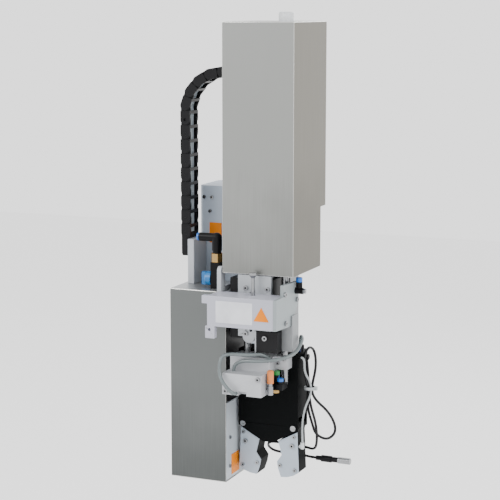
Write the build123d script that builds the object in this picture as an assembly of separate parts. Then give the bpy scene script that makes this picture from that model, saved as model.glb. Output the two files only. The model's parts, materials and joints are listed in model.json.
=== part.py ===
"""Stroke type label applicator with two hinged jaws, all sizes in millimetres.

The frame: X to the right, Y away from the front, Z up.  The origin is the centre of the rear
bolt pattern, on the back face of the base column.  The front of the machine looks along -Y.
"""
import os
from math import cos, pi, radians, sin, sqrt, tan
from build123d import *

os.makedirs("parts", exist_ok=True)

# ------------------------------------------------------------------ driving dimensions
# base column and the housing in front of it
column_width = 72.0
column_depth = 72.0
column_height = 408.0
column_wall = 3.0
column_corner = 7.0
housing_width = 85.0
housing_depth = 85.0
housing_height = 272.0
painted_panel_height = 113.0
sheet = 1.5

# lift unit
cover_width = 104.0
cover_height = 342.0
cover_depth = 106.0
cover_rear_step = 19.0
cover_step_height = 84.0
cover_gap = 2.0
cover_over_housing = 27.0
stroke = 200.0
guide_rod_radius = 5.0
guide_rod_spacing = 56.0
bush_wall = 2.0
piston_rod_radius = 4.0
cylinder_radius = 11.0
guide_inset = 29.0
running_fit = 0.05
free_gap = 0.3
thread_fit = 0.05

# energy chain
chain_pitch = 20.0
chain_height = 15.0
chain_width = 28.0
chain_plate = 1.8
chain_bend = 20.0
chain_fixed_links = 9

# head and jaws
gripper_width = 90.0
gripper_depth = 37.0
gripper_plate = 3.0
jaw_pivot_half = 38.0
jaw_pin_radius = 3.0
jaw_plate = 2.0

# fasteners and hoses
screw_m4 = 2.0
screw_m3 = 1.5
bolt_hole_radius = 3.3
bolt_spacing_x = 40.0
bolt_spacing_z = 300.0
hose_radius = 2.5
air_tube_radius = 1.5
cable_radius = 1.9

# ------------------------------------------------------------------ places that follow from them
base_bottom = -column_height / 2
base_top = column_height / 2
column_front = -column_depth
front = column_front - housing_depth
housing_left = -housing_width / 2
housing_right = housing_width / 2
housing_top = base_bottom + housing_height
panel_right = housing_right - 1.0
cover_left = column_width / 2 + cover_gap
cover_right = cover_left + cover_width
cover_bottom = housing_top + cover_over_housing
cover_top = cover_bottom + cover_height
cover_back = front + cover_depth
lift_x = cover_left + 53.0
lift_y = front + guide_inset
head_x = lift_x
chain_left = housing_left + 3.0
chain_y = column_front - 25.0


def block(x0, x1, y0, y1, z0, z1):
    """A box given by its two corners."""
    return Pos((x0 + x1) / 2, (y0 + y1) / 2, (z0 + z1) / 2) * Box(x1 - x0, y1 - y0, z1 - z0)


def rod(start, axis, radius, length):
    """A cylinder that starts at a point and runs along a named axis."""
    return extrude(Plane(origin=start, z_dir=way(axis)) * Circle(radius), length)


def hexagon(start, axis, across, length):
    """A hexagonal prism, given its size across the flats."""
    plane = Plane(origin=start, z_dir=way(axis))
    return extrude(plane * RegularPolygon(across / 2, 6, major_radius=False), length)


def way(axis):
    """The unit vector of a named axis such as "X" or "-Y"."""
    sign = -1 if axis[0] == "-" else 1
    return Vector(*[sign * (letter == axis[-1]) for letter in "XYZ"])


def cap_screw(seat, axis, shank, depth):
    """A socket screw: its low head stands out of the seat along the axis, the shank goes in."""
    start = Vector(*seat)
    height = 1.3 * shank
    head = extrude(Plane(origin=start, z_dir=way(axis)) * Circle(1.75 * shank), height)
    top = Plane(origin=start + way(axis) * height, z_dir=-way(axis))
    head -= extrude(top * RegularPolygon(0.8 * shank, 6), 0.7 * shank)
    return head + extrude(Plane(origin=start, z_dir=-way(axis)) * Circle(shank), depth)


def screw_hole(seat, axis, shank, depth):
    """The hole that a screw's shank goes into."""
    start = Vector(*seat) + way(axis) * 0.5
    return extrude(Plane(origin=start, z_dir=-way(axis)) * Circle(shank + thread_fit), depth + 1)


def tube(points, radius, name):
    """A round tube on straight runs joined by tangent arcs, each as large as its runs allow."""
    corners = [Vector(*point) for point in points]
    radii = []
    for before, here, after in zip(corners, corners[1:], corners[2:]):
        incoming, outgoing = here - before, after - here
        turn = radians(incoming.get_angle(outgoing))
        shorter = min(incoming.length, outgoing.length)
        radii.append(0.45 * shorter / tan(turn / 2))
    path = FilletPolyline(*corners, radius=radii)
    section = Plane(origin=corners[0], z_dir=corners[1] - corners[0]) * Circle(radius)
    solid = sweep(section, path=path)
    print(name, "length %.1f" % path.length, "volume over section x length %.4f"
          % (solid.volume / (pi * radius ** 2 * path.length)),
          "radii", " ".join("%.1f" % value for value in radii))
    return solid


def save(name, *solids):
    """Writes one node: its solids stay separate."""
    export_step(solids[0] if len(solids) == 1 else Compound(children=list(solids)),
                "parts/" + name + ".step")


# ------------------------------------------------------------------ base column and housing
def base_column():
    """A painted welded box with rounded corners, closed at both ends, bolted at its back."""
    outer = block(-column_width / 2, column_width / 2, column_front, 0, base_bottom, base_top)
    outer = fillet(outer.edges().filter_by(Axis.Z), column_corner)
    inner = block(-column_width / 2 + column_wall, column_width / 2 - column_wall,
                  column_front + column_wall, -column_wall,
                  base_bottom + column_wall, base_top - column_wall)
    shell = outer - fillet(inner.edges().filter_by(Axis.Z), column_corner - column_wall)
    for x in (-bolt_spacing_x / 2, bolt_spacing_x / 2):
        for z in (-bolt_spacing_z / 2, bolt_spacing_z / 2):
            shell -= rod((x, 1, z), "-Y", bolt_hole_radius, column_wall + 2)
    for seat in column_screws():
        shell -= screw_hole(seat, "-Y", screw_m4, column_wall)
    return shell


def column_screws():
    """The three screws on the visible part of the column's front."""
    top = base_top - 16.5
    return [(-28, column_front, top), (-16, column_front, top), (-19, column_front, top - 20)]


def housing_cover():
    """Folded stainless sheet: front, left side and top, with a floor flange."""
    outer = block(housing_left, housing_right, front, column_front, base_bottom, housing_top)
    hollow = block(housing_left + sheet, housing_right + 1, front + sheet, column_front + 1,
                   base_bottom + sheet, housing_top - sheet)
    return outer - hollow


def housing_panels():
    """The painted lower panel and the black upper panel that close the housing's right side."""
    y0, y1 = front + sheet + free_gap, column_front
    z0, z1 = base_bottom + sheet, housing_top - sheet
    joint = z0 + painted_panel_height - sheet
    painted = block(panel_right - 3, panel_right, y0, y1, z0, joint)
    black = block(panel_right - 5, panel_right - 2, y0, y1, joint, z1)
    for seat in panel_screws():
        painted -= screw_hole(seat, "X", screw_m3, 3)
    return painted, black


def panel_screws():
    """Small screws of the painted panel."""
    return [(panel_right, front + 15, base_bottom + 20), (panel_right, front + 15, base_bottom + 62),
            (panel_right, front + 65, base_bottom + 20)]


# ------------------------------------------------------------------ lift unit, fixed pieces
half_turn = round(180 / chain_bend)
arch_radius = chain_pitch / 2 / tan(radians(chain_bend / 2))
chain_foot = housing_top + 72.0
arch_start = chain_foot + chain_fixed_links * chain_pitch
chain_right = chain_left + 2 * arch_radius
slot_half = chain_width / 2 + 4.0
slot_top = arch_start + arch_radius + chain_height / 2
cap_radius = 10.0
cap_x = cover_right - 18.0
cap_y = front + 17.0


def upper_cover():
    """Tall stainless cover, open at the bottom; its upper part is deeper at the back."""
    step = cover_bottom + cover_step_height
    deep = cover_back + cover_rear_step
    outer = block(cover_left, cover_right, front, cover_back, cover_bottom, cover_top)
    outer += block(cover_left, cover_right, front, deep, step, cover_top)
    inner = block(cover_left + sheet, cover_right - sheet, front + sheet, cover_back - sheet,
                  cover_bottom - 1, cover_top - sheet)
    inner += block(cover_left + sheet, cover_right - sheet, front + sheet, deep - sheet,
                   step + sheet, cover_top - sheet)
    shell = outer - inner
    shell -= block(cover_left - 1, cover_left + 2 * sheet, chain_y - slot_half, chain_y + slot_half,
                   cover_bottom - 1, slot_top)
    shell -= rod((cap_x, cap_y, cover_top + 1), "-Z", cap_radius - 2 + running_fit, 2 * sheet)
    return shell


def top_cap():
    """Round plastic plug in the cover's top."""
    head = rod((cap_x, cap_y, cover_top), "Z", cap_radius, 13)
    head = chamfer(head.edges().group_by(Axis.Z)[-1], 1.5)
    return head + rod((cap_x, cap_y, cover_top), "-Z", cap_radius - 2, 6)


guide_block_left = lift_x - 45.0
guide_block_right = lift_x + 19.0
guide_block_front = front + 8.0
guide_block_back = front + 43.0
guide_block_bottom = housing_top - 64.0
guide_block_top = cover_bottom - 7.0
back_plate_front = column_front - 8.0
plate_low = guide_block_bottom - 16.0
bearing_right = guide_block_right + 25.0
bearing_bottom = guide_block_bottom - 16.0
bearing_top = housing_top - 30.0
stop_left = guide_block_right - 22.0
stop_top = guide_block_bottom + 13.0
left_rod_x = lift_x - guide_rod_spacing / 2
right_rod_x = lift_x + guide_rod_spacing / 2


def lift_back_plate():
    """The vertical plate that carries the guide block and the cover; its upper part has windows."""
    x0, x1 = cover_left + sheet, cover_right - sheet
    middle = cover_bottom + 2
    plate = block(x0, x1, back_plate_front, column_front, middle, cover_top - 12)
    plate += block(housing_right + 1, guide_block_right - 2, back_plate_front, column_front,
                   plate_low, middle)
    for level in range(3):
        plate -= block(x0 + 18, x1 - 18, back_plate_front - 1, column_front + 1,
                       middle + 40 + 95 * level, middle + 100 + 95 * level)
    return plate


def mounting_arm():
    """The frame between the column's right wall and the lift plate, below the cover."""
    x0, x1 = column_width / 2, guide_block_right - 2
    z0, z1 = plate_low + 17, cover_bottom - 5
    arm = block(x0, x1, column_front, column_front + 24, z0, z1)
    return arm - block(x0 + 14, x1 - 14, column_front - 1, column_front + 25, z0 + 16, z1 - 16)


def guide_block():
    """The black guide block: a bore for the left guide rod and one for the piston rod."""
    body = block(guide_block_left, guide_block_right, guide_block_front, guide_block_back,
                 guide_block_bottom, guide_block_top)
    body += block(guide_block_left + 2, guide_block_right - 2, guide_block_back, back_plate_front,
                  guide_block_bottom + 4, guide_block_top - 20)
    tall = guide_block_top - guide_block_bottom
    body -= rod((left_rod_x, lift_y, guide_block_bottom), "Z", guide_rod_radius + bush_wall, tall)
    body -= rod((lift_x, lift_y, guide_block_bottom), "Z", piston_rod_radius + 1, tall)
    body -= block(stop_left - 3, guide_block_right + 1, guide_block_front - 1, front + 17 + free_gap,
                  guide_block_bottom - 1, stop_top + free_gap)
    for seat in guide_plate_screws():
        body -= screw_hole(seat, "-Y", screw_m4, 14)
    return body


def bearing_block():
    """Light grey block for the right guide rod; the side plate stands in its groove."""
    tall = bearing_top - bearing_bottom
    body = block(guide_block_right, bearing_right, lift_y - 11, lift_y + 12, bearing_bottom, bearing_top)
    body = chamfer(body.edges().filter_by(Axis.Z), 1.0)
    body -= rod((right_rod_x, lift_y, bearing_bottom), "Z", guide_rod_radius + bush_wall, tall)
    return body - block(side_left - free_gap, box_right + free_gap, lift_y - 12, lift_y + 13,
                        box_bottom - 4, bearing_top + 1)


def guide_bushes():
    """Four plain bushes, two for each guide rod."""
    length = 22.0
    places = [(left_rod_x, guide_block_bottom), (left_rod_x, guide_block_top - length),
              (right_rod_x, bearing_bottom), (right_rod_x, bearing_top - length)]
    return [rod((x, lift_y, z), "Z", guide_rod_radius + bush_wall, length)
            - rod((x, lift_y, z), "Z", guide_rod_radius + running_fit, length) for x, z in places]


plate_left = lift_x - 31.0
plate_right = lift_x + 18.0
plate_front = front + 2.0


def guide_plate():
    """Bright plate on the guide block's front, with a rounded tab at its lower end."""
    z0, z1 = guide_block_bottom + 4, cover_bottom - 1
    plate = block(plate_left, plate_right, plate_front, guide_block_front, z0, z1)
    plate += rod((plate_left + 16, plate_front, z0), "Y", 9, guide_block_front - plate_front)
    plate -= block(stop_left - 2 - free_gap, plate_right + 1, plate_front - 1, guide_block_front + 1,
                   z0 - 10, stop_top + free_gap)
    for seat in guide_plate_screws():
        plate -= screw_hole(seat, "-Y", screw_m4, 14)
    for z in (cover_bottom - 27, guide_block_bottom + 13):
        plate -= rod((plate_left + 19, plate_front - 1, z), "Y", 2.0, 8)
    return plate


def guide_plate_screws():
    """Seats of the three plate screws."""
    return [(plate_left + 12, plate_front, guide_block_top - 12),
            (plate_left + 44, plate_front, guide_block_top - 12),
            (plate_left + 12, plate_front, guide_block_bottom + 8)]


def stop_block():
    """Black end stop under the guide block, and its thin bright side plate."""
    z0 = guide_block_bottom - 16
    stop = block(stop_left, stop_left + 31, front, front + 17, z0, stop_top)
    stop -= screw_hole(stop_seat, "-Y", screw_m4, 10)
    side = block(stop_left - 2, stop_left, front, front + 17, z0 - 2, stop_top)
    return stop, side


stop_seat = (stop_left + 13, front, guide_block_bottom + 4)
cylinder_length = stroke + 52.0


def lift_cylinder():
    """The lift cylinder on the guide block: two end caps and the barrel between them."""
    z0 = guide_block_top
    cap = 18.0
    lower = rod((lift_x, lift_y, z0), "Z", cylinder_radius, cap)
    lower -= rod((lift_x, lift_y, z0), "Z", piston_rod_radius + running_fit, cap)
    barrel = rod((lift_x, lift_y, z0 + cap), "Z", cylinder_radius - 0.5, cylinder_length - 2 * cap)
    barrel -= rod((lift_x, lift_y, z0 + cap), "Z", cylinder_radius - 1.5, cylinder_length - 2 * cap)
    upper = rod((lift_x, lift_y, z0 + cylinder_length - cap), "Z", cylinder_radius, cap)
    return lower, barrel, upper


# ------------------------------------------------------------------ label box on the front
box_left = guide_block_left - 15.0
box_right = lift_x + 41.0
box_front = front - 37.0
box_top = housing_top + 1.0
box_bottom = box_top - 42.0
box_wall = 2.5
side_left = box_right - 4.0
knurled_x = lift_x - 3.0
knurled_y = front - 11.0


def label_box_cover():
    """Bent plate: front and top, with two lugs at its left end."""
    outer = block(box_left, side_left, box_front, plate_front, box_bottom, box_top)
    hollow = block(box_left - 1, side_left + 1, box_front + box_wall, plate_front + 1,
                   box_bottom - 1, box_top - box_wall)
    cover = outer - hollow
    cover -= block(box_left - 1, housing_right + free_gap, front - free_gap, plate_front + 1,
                   box_bottom - 1, box_top + 1)
    cover += block(box_left - 8, box_left + 3, box_front, box_front + 8, box_top - 11, box_top)
    cover += block(box_left - 3, box_left + 11, box_front, box_front + 8, box_bottom - 17, box_bottom)
    cover += block(box_left, box_left + 11, box_front, box_front + 8, box_bottom, box_bottom + 6)
    cover -= rod((box_left + 3, box_front - 1, box_bottom - 5), "Y", 2.0, 12)
    cover -= rod((knurled_x, knurled_y, box_top + 1), "-Z", 3 + running_fit, box_wall + 2)
    return cover


def side_plate():
    """The thick side plate at the box's right end; its front edge is rounded."""
    corners = [(box_front, box_top), (front - 11, box_top), (front - 11, box_top + 16),
               (front + 45, box_top + 14), (front + 45, box_top - 18), (front + 33, box_top - 28),
               (front + 20, box_bottom - 3), (box_front, box_bottom)]
    face = Plane.YZ * Polygon(*corners, align=None)
    plate = Pos(side_left, 0, 0) * extrude(face, box_right - side_left, dir=way("X"))
    plate = fillet(plate.edges().filter_by(Axis.Z).group_by(Axis.Y)[0].sort_by(Axis.X)[-1], 3.0)
    for seat in side_plate_screws():
        plate -= screw_hole(seat, "X", screw_m4, 4)
    return plate


def side_plate_screws():
    """Seats of the screws on the side plate."""
    return [(box_right, front - 6, box_top + 3), (box_right, front - 3, box_bottom + 5),
            (box_right, front + 39, box_top - 11)]


def blank_plates():
    """Thin blank plates: a type plate, a plain triangle and two plain rectangles."""
    thick = 0.5
    middle = (box_bottom + box_top) / 2
    type_plate = block(box_left + 13, box_left + 67, box_front - thick, box_front,
                       middle - 15, middle + 15)
    side = 22.0
    low = middle - 9
    apex_x = box_right - 21
    face = Plane.XZ * Polygon((apex_x - side / 2, low), (apex_x + side / 2, low),
                              (apex_x, low + side * sqrt(3) / 2), align=None)
    triangle = Pos(0, box_front, 0) * extrude(face, thick, dir=way("-Y"))
    column_plate = block(-20, -1, column_front - thick, column_front, base_top - 82, base_top - 53)
    panel_plate = block(panel_right, panel_right + thick, front + 21, front + 48,
                        base_bottom + 6, base_bottom + 35)
    return type_plate, triangle, column_plate, panel_plate


def knurled_screw():
    """Adjusting screw with a conical head, through the box's top plate."""
    shank = rod((knurled_x, knurled_y, box_top - 12), "Z", 3.0, 20)
    neck = rod((knurled_x, knurled_y, box_top + 8), "Z", 2.4, 16)
    cone = Pos(knurled_x, knurled_y, box_top + 26) * Cone(2.4, 5.5, 4)
    return shank + neck + cone + rod((knurled_x, knurled_y, box_top + 28), "Z", 5.5, 3)


# ------------------------------------------------------------------ hand valve on the housing
valve_x = 17.5
valve_y = front + 27.0
elbow_z = housing_top + 71.0
stem_z = housing_top + 13.0


def hand_valve():
    """Valve body on the housing's top, and its elbow."""
    body = block(valve_x - 6.5, valve_x + 6.5, valve_y - 8, valve_y + 8, housing_top, housing_top + 37)
    body -= rod((valve_x - 7, valve_y, stem_z), "X", 2.5 + running_fit, 7)
    elbow = rod((valve_x, valve_y, housing_top + 53), "Z", 7.0, 20)
    elbow += rod((valve_x, valve_y, elbow_z), "-X", 6.0, 26)
    elbow += Pos(valve_x, valve_y, elbow_z) * Sphere(7.0)
    elbow -= rod((valve_x - 27, valve_y, elbow_z), "X", 4.0, 10)
    elbow -= rod((valve_x, valve_y, housing_top + 52), "Z", 5.0, 7)
    return body, elbow


def valve_nipple():
    """Brass hexagon nipple between the valve and its elbow."""
    z = housing_top + 37
    nipple = hexagon((valve_x, valve_y, z), "Z", 15, 12)
    nipple += rod((valve_x, valve_y, z + 12), "Z", 6.0, 4)
    return nipple + rod((valve_x, valve_y, z + 12), "Z", 5.0, 8)


def valve_bracket():
    """White bracket plate with a rounded top, beside the valve."""
    x0, x1 = valve_x + 12, valve_x + 18
    plate = block(x0, x1, front, front + 14, housing_top, housing_top + 28)
    plate += rod((x0, front + 7, housing_top + 28), "X", 7.0, x1 - x0)
    foot = block(valve_x + 6.5, x1, front + 14, front + 40, housing_top, housing_top + 6)
    return plate + foot


def valve_knob():
    """Rotary knob with a grip bar, on the valve's left side."""
    x0 = valve_x - 7
    disc = rod((x0, valve_y, stem_z), "-X", 10.0, 9)
    disc = chamfer(disc.edges().group_by(Axis.X)[0], 1.5)
    bar = block(x0 - 15, x0 - 9, valve_y - 3.5, valve_y + 3.5, stem_z - 9, stem_z + 9)
    return disc + bar + rod((x0, valve_y, stem_z), "X", 2.5, 6)


flow_x = box_right + 5.5
flow_y = lift_y + 6.0
flow_top = cover_bottom - 12.0
arm_z = flow_top - 12.0


def push_rings():
    """Blue release rings of the hand valve's elbow and of the flow control valve."""
    first = rod((valve_x - 22, valve_y, elbow_z), "-X", 4.0 - running_fit, 6)
    first += rod((valve_x - 26.5, valve_y, elbow_z), "-X", 5.5, 3)
    first -= rod((valve_x - 30, valve_y, elbow_z), "X", 3.0, 9)
    second = rod((flow_x, flow_y, flow_top - 3), "Z", 3.4 - running_fit, 6)
    second += rod((flow_x, flow_y, flow_top + 0.5), "Z", 4.5, 6)
    second -= rod((flow_x, flow_y, flow_top - 3), "Z", 2.2, 10)
    return first, second


def flow_valve():
    """Flow control valve on the side plate: push-in body over a cross arm."""
    body = rod((flow_x, flow_y, flow_top - 8), "Z", 4.5, 8)
    arm = rod((box_right, flow_y, arm_z), "X", 4.4, flow_x + 6 - box_right)
    solid = body + arm
    solid -= rod((flow_x, flow_y, flow_top), "-Z", 3.4, 3)
    return solid - rod((flow_x + 6, flow_y, arm_z), "-X", 2.0 + running_fit, 6)


def flow_needle():
    """Slotted adjusting screw of the flow control valve."""
    needle = rod((flow_x + 1, flow_y, arm_z), "X", 2.0, 8)
    needle += rod((flow_x + 6.5, flow_y, arm_z), "X", 3.4, 3)
    return needle - block(flow_x + 8.5, flow_x + 10, flow_y - 4, flow_y + 4, arm_z - 0.5, arm_z + 0.5)


# ------------------------------------------------------------------ energy chain
lug = chain_height / 2 - 0.2
relief = chain_height / 2 + 0.3
pin_radius = 2.4
half_width = chain_width / 2
outer_face = half_width - chain_plate
middle_face = outer_face - free_gap
inner_face = middle_face - chain_plate


def cheek(has_lug, has_pin):
    """One side of a link along +Z: the outer lug round its start, the inner lug with its pin at its end."""
    p = chain_pitch
    side = block(-lug, lug, inner_face, half_width, relief, p - relief)
    side += block(-lug, lug, outer_face, half_width, 0, relief)
    side += rod((0, outer_face, 0), "Y", lug, chain_plate)
    side -= rod((0, outer_face, 0), "Y", pin_radius + running_fit, chain_plate)
    if has_lug:
        side += block(-lug, lug, inner_face, middle_face, p - relief, p)
        side += rod((0, inner_face, p), "Y", lug, chain_plate)
    if has_pin:
        side += rod((0, middle_face, p), "Y", pin_radius, free_gap + chain_plate)
    return side


def chain_link(has_lug=True, has_pin=True):
    """A link from its first pivot at the origin to its second one, one pitch along +Z."""
    right = cheek(has_lug, has_pin)
    link = right + mirror(right, about=Plane.XZ)
    for x in (-lug, lug - 1.4):
        link += block(x, x + 1.4, -inner_face, inner_face, relief, chain_pitch - relief)
    return link


def chain_pivots():
    """Pivots and headings of the links at rest: up from the foot, over the arch and down."""
    x, z, heading = chain_left, chain_foot, 0.0
    places = []
    for number in range(chain_fixed_links + half_turn - 1):
        if number >= chain_fixed_links:
            heading += chain_bend
        places.append((x, z, heading))
        x += chain_pitch * sin(radians(heading))
        z += chain_pitch * cos(radians(heading))
    return places


def placed(link, place):
    """A link put at its pivot and turned by its heading."""
    x, z, heading = place
    return Pos(x, chain_y, z) * Rot(0, heading, 0) * link


def chain_end_fixed():
    """End piece on the bracket: its pins hold the first link."""
    side = block(-lug, lug, inner_face, middle_face, -relief, 0)
    side += rod((0, inner_face, 0), "Y", lug, chain_plate)
    side += rod((0, middle_face, 0), "Y", pin_radius, free_gap + chain_plate)
    end = side + mirror(side, about=Plane.XZ)
    end += block(-lug, bracket_left - chain_left, -half_width + 2, half_width - 2, -33, -relief)
    end -= Pos(-lug - 2.5, 0, -33) * Rot(0, -20, 0) * Box(7, chain_width + 2, 44)
    return Pos(chain_left, chain_y, chain_foot) * end


bracket_left = chain_left + 4.5


def chain_bracket():
    """Painted bar on the housing's top that carries the chain's fixed end."""
    bar = block(bracket_left, bracket_left + 10, chain_y - half_width - 4, column_front - free_gap,
                housing_top, chain_foot - relief - 0.5)
    return chamfer(bar.edges().filter_by(Axis.Z), 0.6)


# ------------------------------------------------------------------ head: everything that lifts
head_top = guide_block_bottom - 24.0
head_bottom = head_top - 29.0
head_left = lift_x - 41.0
head_right = lift_x + 18.0
head_front = front - 3.0
gripper_front = front + 36.0
gripper_back = gripper_front + gripper_depth
gripper_top = head_top + 2.0
gripper_left = head_x - gripper_width / 2
gripper_right = head_x + gripper_width / 2
gripper_middle = (gripper_front + gripper_back) / 2
hose_x = head_right - 4.0
hose_y = head_front + 9.0
rod_seat = 20.0
crosshead_low = arch_start - 27.0
crosshead_thick = 12.0


def guide_rods():
    """Two hardened guide rods from the head block to the crosshead; the right one stands out below."""
    top = crosshead_low + crosshead_thick
    left = rod((left_rod_x, lift_y, head_top - rod_seat), "Z", guide_rod_radius,
               top - head_top + rod_seat)
    right = rod((right_rod_x, lift_y, head_bottom - 12), "Z", guide_rod_radius, top - head_bottom + 12)
    return left, right


def piston_rod():
    """The lift cylinder's piston rod, with its piston at the top of the barrel."""
    top = guide_block_top + cylinder_length - 22
    shaft = rod((lift_x, lift_y, head_top - 12), "Z", piston_rod_radius, top - head_top + 12)
    return shaft + rod((lift_x, lift_y, top - 6), "Z", cylinder_radius - 1.5 - running_fit, 6)


def crosshead():
    """Bridge on the rods' upper ends; its rear arm reaches into the chain's lane."""
    z0, z1 = crosshead_low, crosshead_low + crosshead_thick
    bridge = block(left_rod_x - 11, right_rod_x + 11, lift_y - 18, lift_y + 12, z0, z1)
    bridge -= rod((lift_x, lift_y, z0), "Z", cylinder_radius + 1.5, crosshead_thick)
    for x in (left_rod_x, right_rod_x):
        bridge -= rod((x, lift_y, z0), "Z", guide_rod_radius, crosshead_thick)
    return bridge + block(chain_right - lug, chain_right + lug, lift_y + 12, chain_y + 9, z0, z1)


def chain_end_moving():
    """Tongue on the crosshead's arm that meets the chain's last link."""
    z0 = crosshead_low + crosshead_thick
    foot = block(chain_right - lug, chain_right + lug, chain_y - 9, chain_y + 9, z0, z0 + 3)
    stem = block(chain_right - 3.5, chain_right + 3.5, chain_y - 9, chain_y + 9, z0 + 3, arch_start)
    return foot + stem + rod((chain_right, chain_y - 9, arch_start), "Y", 4.2, 18)


def head_block():
    """The block the rods end in, bolted to the gripper's front, with an ear for the right rod."""
    body = block(head_left, head_right, head_front, gripper_front, head_bottom, head_top)
    body = chamfer(body.edges().filter_by(Axis.Z).group_by(Axis.Y)[0], 1.0)
    body += block(head_right, right_rod_x + 8, lift_y - 12, gripper_front, head_top - 18, head_top)
    body -= rod((left_rod_x, lift_y, head_top - rod_seat), "Z", guide_rod_radius, rod_seat)
    body -= rod((right_rod_x, lift_y, head_top - 18), "Z", guide_rod_radius, 18)
    body -= rod((lift_x, lift_y, head_top - 12), "Z", piston_rod_radius, 12)
    for seat in ear_screws():
        body -= screw_hole(seat, "-Y", screw_m3, 6)
    return body - rod((hose_x - 0.5, hose_y - 0.5, head_top), "-Z", 5.4, 3.5)


def ear_screws():
    """Seats of the two bright screws on the ear."""
    return [(right_rod_x - 5, lift_y - 12, head_top - 9), (right_rod_x + 3, lift_y - 12, head_top - 4)]


valve_front = head_front - 24.0
valve_top = head_top - 19.0
valve_bottom = valve_top - 30.0
valve_right = head_right - 2.0


def valve_block():
    """The valve block in front of the head block, with a notch in its lower edge."""
    x0 = head_left - 1
    body = block(x0, valve_right, valve_front, head_front, valve_bottom, valve_top)
    body -= block(x0 + 24, x0 + 36, valve_front - 1, valve_front + 12,
                  valve_bottom - 1, valve_bottom + 6)
    for seat in valve_screws():
        body -= screw_hole(seat, "-Y", screw_m4, 14)
    return body


def valve_screws():
    """Seats of the two screws of the valve block."""
    return [(valve_right - 5, valve_front, valve_top - 5), (head_left + 4, valve_front, valve_bottom + 5)]


vee_side = gripper_top - 110.0
vee_bottom = gripper_top - 131.0
vee_flat = 8.0
pivot_z = gripper_top - 107.5


def plate_xz(outline, y0, y1):
    """A plate with an outline in X and Z, between two Y."""
    face = Plane.XZ * Polygon(*outline, align=None)
    return Pos(0, y1, 0) * extrude(face, y1 - y0, dir=way("-Y"))


def vee_plate(y0):
    """A gripper plate: a rectangle with a blunt V at its lower end, bored for the jaws' pins."""
    outline = [(gripper_left, gripper_top), (gripper_left, vee_side), (head_x - vee_flat, vee_bottom),
               (head_x + vee_flat, vee_bottom), (gripper_right, vee_side), (gripper_right, gripper_top)]
    plate = plate_xz(outline, y0, y0 + gripper_plate)
    for x in pivot_places():
        plate -= rod((x, y0, pivot_z), "Y", jaw_pin_radius, gripper_plate)
    return plate


def pivot_places():
    """X of the two jaws' pivots."""
    return (head_x - jaw_pivot_half, head_x + jaw_pivot_half)


def gripper_back_plate():
    """Black back plate; a tongue behind the right jaw carries the cable clip."""
    plate = vee_plate(gripper_back - gripper_plate)
    tongue = block(head_x + 13, head_x + 35, gripper_back, gripper_back + 4,
                   vee_bottom - 38, vee_bottom + 49)
    return plate + tongue


cavity_top = gripper_top - 52.0


def gripper_housing():
    """Black block between the plates, solid above and two side walls below."""
    y0, y1 = gripper_front + gripper_plate, gripper_back - gripper_plate
    body = block(gripper_left, gripper_right, y0, y1, pivot_z + 15, gripper_top)
    body -= block(gripper_left + 5, gripper_right - 5, y0 - 1, y1 + 1, vee_side, cavity_top)
    return body - rod((head_x, gripper_middle, cavity_top), "Z", 10, 34)


def gripper_cylinder():
    """Short cylinder in the housing that moves the jaws."""
    body = rod((head_x, gripper_middle, cavity_top), "Z", 10.0, 34)
    return body - rod((head_x, gripper_middle, cavity_top), "Z", 4.0 + running_fit, 24)


tail_reach = 28.0
tail_half = 4.0
collar_radius = 9.0


def gripper_plunger():
    """The jaw cylinder's rod; the jaws' tails lie between its bar and its collar."""
    low = pivot_z - tail_half - free_gap
    shaft = rod((head_x, gripper_middle, low), "Z", 4.0, cavity_top + 16 - low)
    bar = block(head_x - 11, head_x + 11, gripper_middle - 9, gripper_middle + 9, low - 6, low)
    collar = rod((head_x, gripper_middle, pivot_z + tail_half + 0.5), "Z", collar_radius, 3)
    return shaft + bar + collar


def pivot_pins():
    """Two pins through both plates, with slotted heads in front."""
    pins = []
    for x in pivot_places():
        pin = rod((x, gripper_front, pivot_z), "Y", jaw_pin_radius, gripper_depth)
        pin += rod((x, gripper_front, pivot_z), "-Y", 4.0, 1.6)
        pins.append(pin - block(x - 5, x + 5, gripper_front - 2, gripper_front - 1,
                                pivot_z - 0.5, pivot_z + 0.5))
    return pins


# ------------------------------------------------------------------ jaws
jaw_front = gripper_front + gripper_plate + free_gap
jaw_back = gripper_back - gripper_plate - free_gap


def jaw_outline():
    """The right jaw's outline: distances from the head's middle, heights from the V's bottom."""
    inner = [(14.5, 2), (17.5, -9), (19.5, -18), (12.5, -28), (14, -37), (18.5, -50)]
    outer = [(28.5, -49), (37.5, -46), (45, -41), (42.5, 17)]
    return [(head_x + x, vee_bottom + z) for x, z in inner + outer]


def jaw_screws():
    """Seats of the right jaw's plate screws."""
    return [(head_x + x, jaw_front, vee_bottom + z) for x, z in ((38.5, 10), (17.5, -33), (39.5, -38))]


def washer_screw():
    """Seat of the right jaw's large screw."""
    return (head_x + 35.5, jaw_front, vee_bottom - 3)


def jaw_front_plate():
    """Bright plate on the right jaw's front."""
    plate = plate_xz(jaw_outline(), jaw_front, jaw_front + jaw_plate)
    for seat in jaw_screws():
        plate -= screw_hole(seat, "-Y", screw_m3, 8)
    return plate - screw_hole(washer_screw(), "-Y", screw_m4, 8)


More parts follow.
